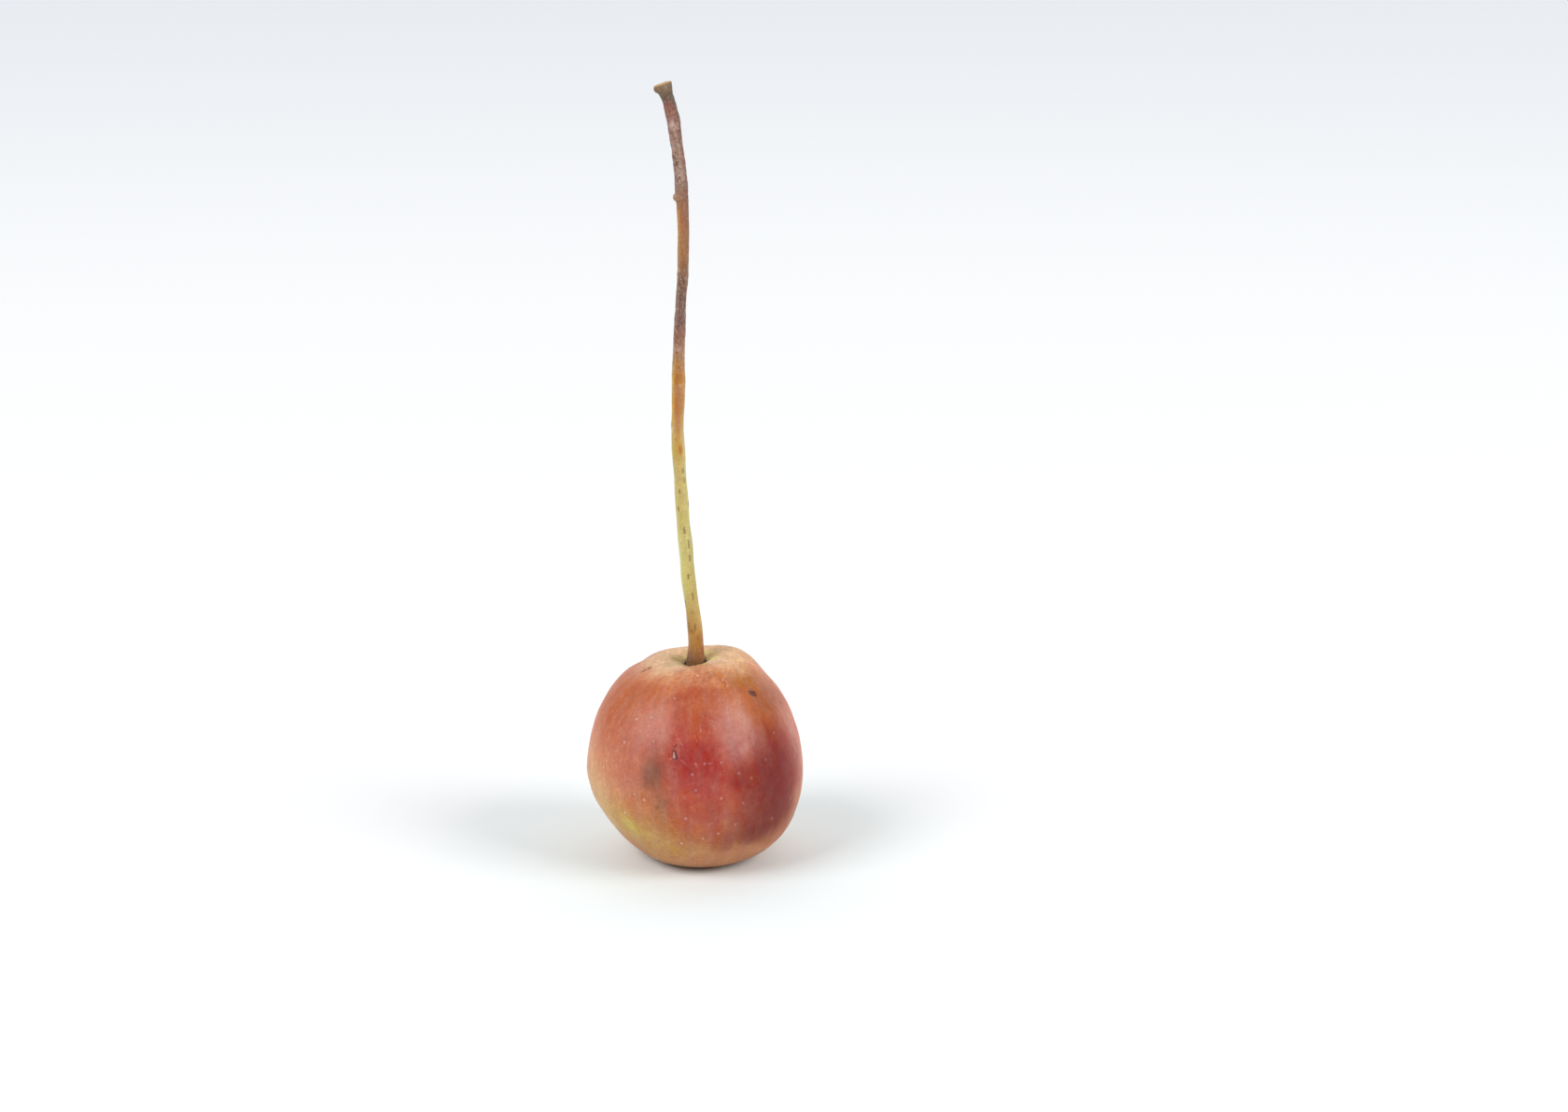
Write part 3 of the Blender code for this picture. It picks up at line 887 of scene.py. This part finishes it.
scaly = np.maximum(step(36, 48, stem_up), 0.55 * step(19.5, 17.0, stem_up))
scaly = scaly * (0.75 + 0.25 * stem_waves(0.8, 3.0, 21))
scaly *= 1 - 0.6 * step(49.5, 51.5, stem_up) * step(56.5, 55.0, stem_up)   # smoother below the bud's scar
scaly *= 1 - 0.6 * step(63.6, 64.3, stem_up)   # and on the cap
stem_relief = 0.022 * np.cos(3 * stem_turn + 0.05 * stem_up + 0.6)
stem_relief = stem_relief + 0.012 * np.cos(5 * stem_turn - 0.03 * stem_up)
stem_relief += 0.016 * stem_waves(0.35, 6.0, 22) + 0.010 * stem_waves(0.14, 2.4, 23)
stem_relief += scaly * (0.020 * stem_waves(0.30, 0.9, 24) + 0.014 * stem_waves(0.12, 0.30, 25))
stem_relief += 0.05 * stem_waves(2.0, 4.0, 26) * step(16, 20, stem_up)

SWELLINGS = [   # what it is, place, half-width and half-height, edge, how far it stands out
    ("scar of a fallen bud", (-95, 56.3), (0.24, 0.3), 4, 0.21),
    ("hollow under the scar", (-80, 55.6), (0.2, 0.28), 2, -0.06),
    ("swelling, left", (-85, 37.2), (0.4, 0.5), 2, 0.05),
    ("swelling, right", (95, 41), (0.45, 0.6), 2, 0.03),
    ("knuckle under the tip", (100, 62.6), (0.45, 0.7), 2, 0.05),
    ("hooked lip of the tip", (-95, 65.25), (0.36, 0.26), 3, 0.2),
    ("notch in the tip", (70, 64.7), (0.28, 0.3), 2, -0.08),
    ("skin drawn up the foot, left", (-120, 16.6), (0.35, 0.5), 2, 0.05),
    ("skin drawn up the foot, right", (40, 16.5), (0.3, 0.45), 2, 0.05),
]
for _, at, size, edge, out in SWELLINGS:
    stem_relief += out * stem_spot(at, size, edge)
stem_body = carried(stem_path, on_rings(stem_radius + stem_relief, stem_turn, 0)[..., :2], (1.0, 0.0, 0.0))

# The broken end: the last ring rolls over a rounded rim and sinks into a shallow scar.
TIP = [   # share of the last ring's radius, height above it
    (0.98, 0.05), (0.93, 0.09), (0.85, 0.11), (0.76, 0.1), (0.66, 0.06), (0.55, 0.01), (0.43, -0.03),
    (0.31, -0.05), (0.19, -0.05), (0.08, -0.05),
]
tip_share, tip_rise = np.array(TIP).T[..., None, None]
tip_rough = 0.03 * waves(stem_body[-1:] * (1 + tip_share), 0.5, 27)[..., None] * step(0.95, 0.7, tip_share)
last_ring = stem_body[-1] - stem_path[-1]
ahead = unit(stem_path[-1] - stem_path[-2])
tip_rows = stem_path[-1] + last_ring * tip_share + ahead * (tip_rise + tip_rough)
stem = closed_piece("crab_apple_stem", [np.concatenate([stem_body, tip_rows])])
print(f"the stem's relief goes from {stem_relief.min():.2f} to {stem_relief.max():.2f} mm")

# %% [markdown]
# ## Colours of the bark
#
# Where the stem leaves the fruit it is still green wood, yellow and smooth. Towards the old end it gets a
# skin of bark: first golden with a reddish streak, then brown with a thin grey skin that flakes. The colours
# go up the stem in stops, for its left flank, its face and its right flank, and patches are laid over them.
# The lowest stops, down in the fruit's hollow, are painted shade, the right flank's darker colours towards
# the old end are partly painted shade, and a patch of painted shade lies on the foot's lower left.

# %% Bark colours by height, then patches
BARK = [   # height, left flank, face, right flank
    # the lowest stops, down in the fruit's hollow, are dark with painted shade
    (15.5, (110, 70, 44), (108, 68, 40), (120, 70, 46)),
    (17.5, (150, 104, 66), (152, 104, 60), (154, 104, 60)),
    (18.6, (176, 126, 66), (178, 126, 58), (166, 114, 58)),
    (20.5, (182, 140, 74), (182, 144, 78), (196, 160, 94)),
    (23, (200, 186, 112), (198, 176, 100), (186, 164, 96)),
    (31, (198, 184, 118), (196, 174, 104), (196, 182, 114)),
    (35.5, (194, 172, 106), (194, 158, 94), (196, 174, 112)),
    (38.5, (198, 158, 86), (186, 128, 70), (184, 140, 84)),
    (42.5, (190, 154, 90), (176, 122, 66), (176, 132, 82)),
    (44.5, (150, 114, 84), (142, 96, 72), (150, 116, 88)),
    (49, (148, 120, 94), (126, 88, 66), (134, 102, 82)),
    # from here up, the right flank's darker colours are partly painted shade
    (52.5, (178, 134, 84), (162, 106, 58), (140, 98, 66)),
    (55.2, (184, 136, 84), (156, 98, 64), (124, 82, 60)),
    (57.2, (144, 112, 92), (152, 116, 96), (118, 86, 68)),
    (59.5, (138, 112, 98), (164, 132, 114), (124, 92, 74)),
    (62, (140, 104, 92), (158, 120, 106), (118, 86, 70)),
    (63.6, (128, 78, 62), (140, 84, 68), (98, 72, 54)),
    (64.6, (96, 70, 50), (102, 72, 50), (78, 66, 44)),
    (65.3, (124, 92, 56), (134, 102, 62), (96, 78, 50)),
]
bark_stops = [(z, *linear(*left), *linear(*face), *linear(*right)) for z, left, face, right in BARK]
flanks = smooth_through(bark_stops, share * STEM_LENGTH + STEM_FOOT)
left_tint, face_tint, right_tint_and_shade = np.split(flanks[:, None], 3, axis=-1)
to_left = step(0.15, 0.95, -np.sin(stem_turn))[..., None]
to_right = step(0.15, 0.95, np.sin(stem_turn))[..., None]
bark_tint = face_tint * (1 - to_left - to_right) + left_tint * to_left + right_tint_and_shade * to_right

PATCHES = [   # what it is, place, half-width and half-height, edge, colour, strength
    ("red-brown streak", (5, 39.5), (0.2, 2.6), 2.2, (176, 104, 60), 0.55),
    ("red-brown blotch", (20, 35.2), (0.16, 0.46), 2.6, (172, 92, 64), 0.75),
    ("pale swelling", (-75, 36.9), (0.26, 0.28), 2.2, (222, 198, 150), 0.75),
    ("red dot", (-20, 36.1), (0.09, 0.1), 2.4, (176, 84, 62), 0.8),
    ("pale specks", (25, 40.7), (0.16, 0.1), 2.2, (216, 190, 146), 0.6),
    ("pale speck, left", (-60, 40.8), (0.14, 0.09), 2.2, (216, 190, 146), 0.5),
    ("pink patch", (-5, 43.7), (0.3, 0.3), 2.4, (206, 160, 146), 0.75),
    ("brown saddle", (0, 44.8), (0.4, 0.5), 2.2, (150, 96, 74), 0.6),
    ("pale fleck", (-60, 50.3), (0.22, 0.16), 2.2, (214, 178, 150), 0.75),
    ("dark hollow", (5, 49.5), (0.18, 0.3), 2.4, (122, 82, 58), 0.7),
    ("top of the bud's scar", (-95, 56.5), (0.22, 0.28), 3, (206, 174, 146), 0.85),
    ("shade under the bud's scar", (-70, 55.7), (0.18, 0.2), 2.2, (96, 64, 48), 0.8),
    ("pink-white bark", (-10, 62.3), (0.42, 0.45), 2.6, (200, 170, 156), 0.7),
    ("pink-white bark, lower", (0, 58.2), (0.34, 0.6), 2.6, (196, 164, 148), 0.65),
    ("pink-white bark, middle", (-35, 60.4), (0.22, 0.6), 2.6, (186, 158, 146), 0.5),
    ("red-brown bark, right", (55, 59.6), (0.2, 1.2), 2.6, (140, 88, 66), 0.6),
    ("red-brown under the tip", (-60, 63.5), (0.42, 0.55), 2.4, (146, 92, 74), 0.6),
    ("olive shade, left", (-60, 64.8), (0.36, 0.28), 2.4, (92, 74, 52), 0.75),
    ("olive shade, right", (60, 64.5), (0.4, 0.4), 2.4, (88, 76, 54), 0.7),
    ("red edge of the foot", (60, 17.8), (0.24, 0.5), 2.2, (168, 74, 46), 0.6),
    # painted shade at the lower left of the stem's foot
    ("painted shade on the foot, left", (-70, 17.2), (0.4, 0.4), 2.2, (84, 52, 34), 0.7),
    ("brown fleck above the foot", (-30, 19.7), (0.26, 0.2), 2.6, (146, 98, 52), 0.75),
    ("second brown fleck", (25, 19.1), (0.24, 0.3), 2.6, (150, 100, 56), 0.7),
    ("third brown fleck", (5, 21.3), (0.22, 0.14), 2.6, (158, 118, 62), 0.6),
]
for _, at, size, edge, rgb, strength in PATCHES:
    bark_tint = laid_over(bark_tint, strength * stem_spot(at, size, edge), linear(*rgb))
SMOOTH_TIP = 0.12                     # how scaly the broken end is
tip_tint = np.where(tip_share > 0.90, linear(168, 126, 78), linear(204, 168, 118))
tip_tint = tip_tint * np.ones((len(TIP), STEM_COLUMNS, 3))
paint(stem, "tint", np.concatenate([bark_tint, tip_tint]))
paint(stem, "scaly", np.concatenate([scaly, np.full((len(TIP), STEM_COLUMNS), SMOOTH_TIP)]))
print(f"{len(BARK)} stops and {len(PATCHES)} patches on the bark")

# %% [markdown]
# ## The bark's finish
#
# The grain group runs along this piece too, much finer than on the fruit. Where the bark is old, a thin pale
# skin lifts off in flakes and leaves bare brown patches. Both are lumps of noise that is drawn out along the
# stem, and they stand up or lie deeper by a hundredth of a millimetre. The thin cracks between them are the
# edges of a Voronoi pattern. The green part has a few brown pores, drawn as short strokes with the stroke
# group.

# %% Places and patterns of the bark
def on_stem(at):
    """The point of the stem at (degrees round, height), in millimetres, as plain numbers."""
    row = np.abs(stem_path[:, 2] - at[1]).argmin()
    return stem_body[row, np.abs(way_round(stem_turn[0], at[0])).argmin()].tolist()


BARK_PORES = [   # degrees round, height, length
    (10, 28.4, 0.5), (35, 27.15, 0.5), (40, 26, 0.4), (25, 22.7, 0.5), (-60, 22.1, 0.5), (-45, 20.2, 0.4),
    (10, 20, 0.4), (45, 33.4, 0.2), (50, 32.6, 0.2), (-10, 31.7, 0.25), (75, 30.5, 0.3), (-75, 29.1, 0.3),
    (-70, 34, 0.3), (10, 24.4, 0.3), (-30, 30.2, 0.2), (150, 21.5, 0.5), (-150, 24.5, 0.5), (170, 27.8, 0.5),
    (-120, 31.3, 0.4), (125, 34.2, 0.4), (-140, 37.5, 0.4), (160, 39.2, 0.4),
]
BARK_PORE_HALF_WIDTH = 0.15
bark_pores = [((a, z - long / 2), (a, z + long / 2), BARK_PORE_HALF_WIDTH) for a, z, long in BARK_PORES]

bark_material, tree, shader = plain_material("stem_bark")
place = place_in_mm(tree)
scaliness = painted(tree, "scaly")
fibres = grain_of(place, 3.0, 0.35, 4.0)
fine_fibres = grain_of(place, 9.0, 1.2)
freckles = noise_of(place, 0.16, 3.0, 0.65)
STRETCH = (6.4, 6.4, 3.6)             # so flakes are about 0.15 mm wide and 0.3 mm long
stretched = vectors("MULTIPLY", place, STRETCH)
elsewhere = vectors("ADD", stretched, (7.3, 2.1, 4.7))   # bare patches fall in other places than pale flakes
pale_flakes = times(ranged(noise_of(stretched, 1.0, 3.0, 0.62), 0.50, 0.68), scaliness)
bare_flakes = times(ranged(noise_of(elsewhere, 1.1, 3.0, 0.62), 0.50, 0.64), scaliness)
crack_cells = add(tree, "TexVoronoi", {"Vector": pushed(stretched, 0.5, 1.0), "Scale": 0.8},
                  feature="DISTANCE_TO_EDGE")
cracks = times(ranged(crack_cells.outputs["Distance"], 0.0, 0.10, 1.0, 0.0), scaliness)
pore_mask = times(strokes_of(pushed(place, 0.20, 0.14), strokes_on(on_stem, bark_pores), 0.9),
                  ranged(noise_of(place, 0.12), 0.3, 0.6, 0.4, 0.9))
print(f"{len(bark_pores)} pores have chosen places on the bark")

# %% The bark's material
varied = toned(painted(tree, "tint", "Color"), 0.5, evenly(fibres, 0.25, 0.75, 0.85, 1.2),
               times(evenly(fine_fibres, 0.2, 0.8, 0.84, 1.14), evenly(freckles, 0.25, 0.75, 0.80, 1.16)))
flaked = mixed(times(pale_flakes, 0.60), varied, colour(206, 180, 168))
flaked = mixed(times(bare_flakes, 0.85), flaked, colour(96, 56, 38))
cracked = mixed(times(cracks, 0.30), flaked, colour(92, 62, 46))
rough_height = times(noise_of(place, 0.07, 3.0), maths("MULTIPLY_ADD", scaliness, 0.020, 0.006))
flake_height = times(minus(pale_flakes, bare_flakes), 0.012)
raised = plus(plus(rough_height, times(fine_fibres, 0.016)), plus(flake_height, times(pore_mask, 0.012)))
fill(shader, {
    "Base Color": mixed(pore_mask, cracked, colour(124, 88, 42)),
    "Roughness": plus(times(scaliness, 0.18), evenly(fibres, 0.2, 0.8, 0.40, 0.56)),
    "Normal": bumped(raised),
    "Coat Weight": 0.08,
    "Coat Roughness": 0.35,
})
stem.data.materials.append(bark_material)
print(f"the bark's material has {len(tree.nodes)} nodes")

# %% [markdown]
# ## The eye
#
# Under the fruit, inside the ring it stands on, is what is left of the flower: five dry sepals that lie along
# the basin's wall and curl in at their tips, and within them the withered stamens and styles. The sepals are
# flattened tubes with a cupped section rather than sheets with a Solidify modifier, so their tips stay
# closed.

# %% Sepals
calyx_low, calyx_high = (np.array(corner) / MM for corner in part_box("calyx"))
SEPALS = 5
SEPAL_ROWS, SEPAL_COLUMNS = 48, 28
SEPAL_WAY = [   # share of the length, out from the axis, height
    (0, 0.42, 1.84), (0.2, 0.92, 1.74), (0.4, 1.38, 1.42), (0.6, 1.66, 0.98), (0.78, 1.72, 0.58),
    (0.9, 1.58, 0.34), (1, 1.38, 0.3),
]
SEPAL_WIDTH = [   # share of the length, half-width
    (0, 0.5), (0.25, 0.6), (0.5, 0.52), (0.75, 0.34), (0.92, 0.14), (1, 0.05),
]
SEPAL_THICKNESS = 0.07


def sepal(number):
    """One sepal: a lens-shaped section carried along a line down the basin's wall.

    With b round the section, u is width * cos(b), and v is thickness * sin(b) + cup * (u / width)^2. Each
    sepal has its own width, twist and curl.
    """
    random = np.random.default_rng(40 + number)
    along = np.linspace(0, 1, SEPAL_ROWS)
    out, up = smooth_through(SEPAL_WAY, along).T
    out = out + random.uniform(-0.10, 0.06) * along**2
    up = up + random.uniform(-0.06, 0.10) * along**2
    around = 2 * np.pi * (number + 0.12 * random.normal()) / SEPALS + random.uniform(-0.2, 0.2) * along**2
    width = smooth_through(SEPAL_WIDTH, along) * random.uniform(0.9, 1.08)
    b = round_turn(SEPAL_COLUMNS, 0)[None]
    cup = random.uniform(-0.16, -0.06) * (1 - along[:, None])
    u = width * np.cos(b)
    v = SEPAL_THICKNESS * np.sin(b) * (1 - 0.6 * along[:, None]) + cup * np.cos(b) ** 2
    side = (math.cos(around[0]), math.sin(around[0]), 0.0)
    grid = carried(on_rings(out, around, up), np.stack([u, v], -1), side)
    return grid + 0.018 * waves(grid, 0.5, 50 + number)[..., None]


def turned(profile, columns):
    """A surface of revolution: each (radius, height) of the profile becomes a ring of points."""
    out, up = np.array(profile).T[..., None]
    return on_rings(out, round_turn(columns)[None], up)


BUTTON = [   # the dry ring that the sepals grow from: radius, height
    (0.2, 2), (0.62, 1.98), (0.76, 1.92), (0.8, 1.84), (0.74, 1.77), (0.62, 1.74), (0.5, 1.76), (0.4, 1.83),
    (0.2, 1.86),
]
button = turned(BUTTON, 64)
button = button + 0.02 * waves(button, 0.5, 60)[..., None] * np.array((0.5, 0.5, 1.0))
calyx = closed_piece("dry_calyx", [sepal(number) for number in range(SEPALS)] + [button])
print(f"its plain solid is {calyx_high[0] - calyx_low[0]:.1f} mm wide")

# %% Stamens and styles
STAMENS, STYLES = 17, 5
THREAD_ROWS, THREAD_COLUMNS, ANTHER_ROWS = 16, 8, 12
THREAD_TOP = 1.80
THREAD_RADIUS, STYLE_RADIUS = 0.028, 0.045
ANTHER = [   # share of its length, radius in thread radii
    (0, 0.4), (0.15, 1.6), (0.4, 2.6), (0.65, 2.4), (0.85, 1.5), (1, 0.4),
]
BED = [   # what they grow from: radius, height
    (0.06, 1.86), (0.42, 1.84), (0.52, 1.79), (0.44, 1.74), (0.24, 1.7), (0.06, 1.68),
]


def thread(random, length, thickness, droop):
    """One withered thread: a ring carried down along a line that bends aside, and the same for its anther."""
    along = np.linspace(0, 1, THREAD_ROWS)[:, None]
    aside = random.normal(size=2) * droop
    wobble = 0.05 * np.sin(2 * np.pi * along * random.uniform(0.6, 1.4) + random.uniform(0, 6))
    path = np.column_stack([aside * along**2 + wobble * (1, -1), THREAD_TOP - length * along])
    b = round_turn(THREAD_COLUMNS, 0)[None]
    circle = np.stack([np.cos(b), np.sin(b)], -1)
    side = (1.0, 0.0, 0.0)
    grid = carried(path, circle * thickness * np.ones((THREAD_ROWS, 1, 1)), side)
    end = path[-1] + np.linspace(-0.03, 0.17, ANTHER_ROWS)[:, None] * unit(path[-1] - path[-2])
    fat = smooth_through(ANTHER, np.linspace(0, 1, ANTHER_ROWS))[:, None] * THREAD_RADIUS
    return grid, carried(end, circle * (1.15, 0.8) * fat, side)


threads = []
random = np.random.default_rng(70)
for number in range(STAMENS + STYLES):
    if number < STAMENS:
        out, length = random.uniform(0.34, 0.50), random.uniform(0.7, 1.15)
        around = 2 * np.pi * number / STAMENS + random.uniform(-0.15, 0.15)
        grids = thread(random, length, THREAD_RADIUS, 0.22)
    else:
        out, length = random.uniform(0.05, 0.14), random.uniform(0.55, 0.85)
        around = 2 * np.pi * number / STYLES + random.uniform(0, 2 * np.pi)
        grids = thread(random, length, STYLE_RADIUS, 0.10)
    threads += [grid + on_rings(out, around, 0) for grid in grids]
stamens = closed_piece("withered_stamens", threads + [turned(BED, 40)])
print(f"{SEPALS} sepals, {STAMENS} stamens and {STYLES} styles")

# %% [markdown]
# ## The finish of dry leaf and thread
#
# Sepals are leaves, felted with short down, and dry to a greyish brown. The threads dry darker. Both are
# dull, so both have a high roughness and no coat, and a fine bump for the felt.

# %% Two dry materials
def dry_material(name, dark, pale, lump):
    """A dull material: noise between a dark and a pale colour, a finer grain over it, and a felted bump."""
    material, tree, shader = plain_material(name)
    place = place_in_mm(tree)
    blotches = noise_of(place, lump, 3.0, 0.6)
    fibres = grain_of(place, 5.0, 4.0)
    base = mixed(ranged(blotches, 0.3, 0.7), colour(*dark), colour(*pale))
    fill(shader, {
        "Base Color": mixed(times(ranged(fibres, 0.5, 0.75), 0.5), base, colour(176, 158, 132)),
        "Roughness": evenly(blotches, 0.2, 0.8, 0.70, 0.92),
        "Normal": bumped(plus(times(fibres, 0.03), times(noise_of(place, 0.05), 0.02))),
    })
    return material


calyx.data.materials.append(dry_material("dry_sepal", (84, 58, 38), (142, 108, 74), 0.4))
stamens.data.materials.append(dry_material("dry_stamen", (54, 36, 24), (112, 78, 50), 0.2))

# %% [markdown]
# ## Everything on the frame
#
# Each piece rides on the fruit's one body and stands for its plain solid, which is hidden.

# %% Ride and replace
ON_FRAME = [   # piece, plain solid, slot
    (fruit, "fruit", "skin"), (stem, "stem", "stem_bark"), (calyx, "calyx", "dry_sepal"),
    (stamens, "stamen_tuft", "dry_stamen"),
]
for piece, node, slot in ON_FRAME:
    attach(piece, "root")
    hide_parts(node)
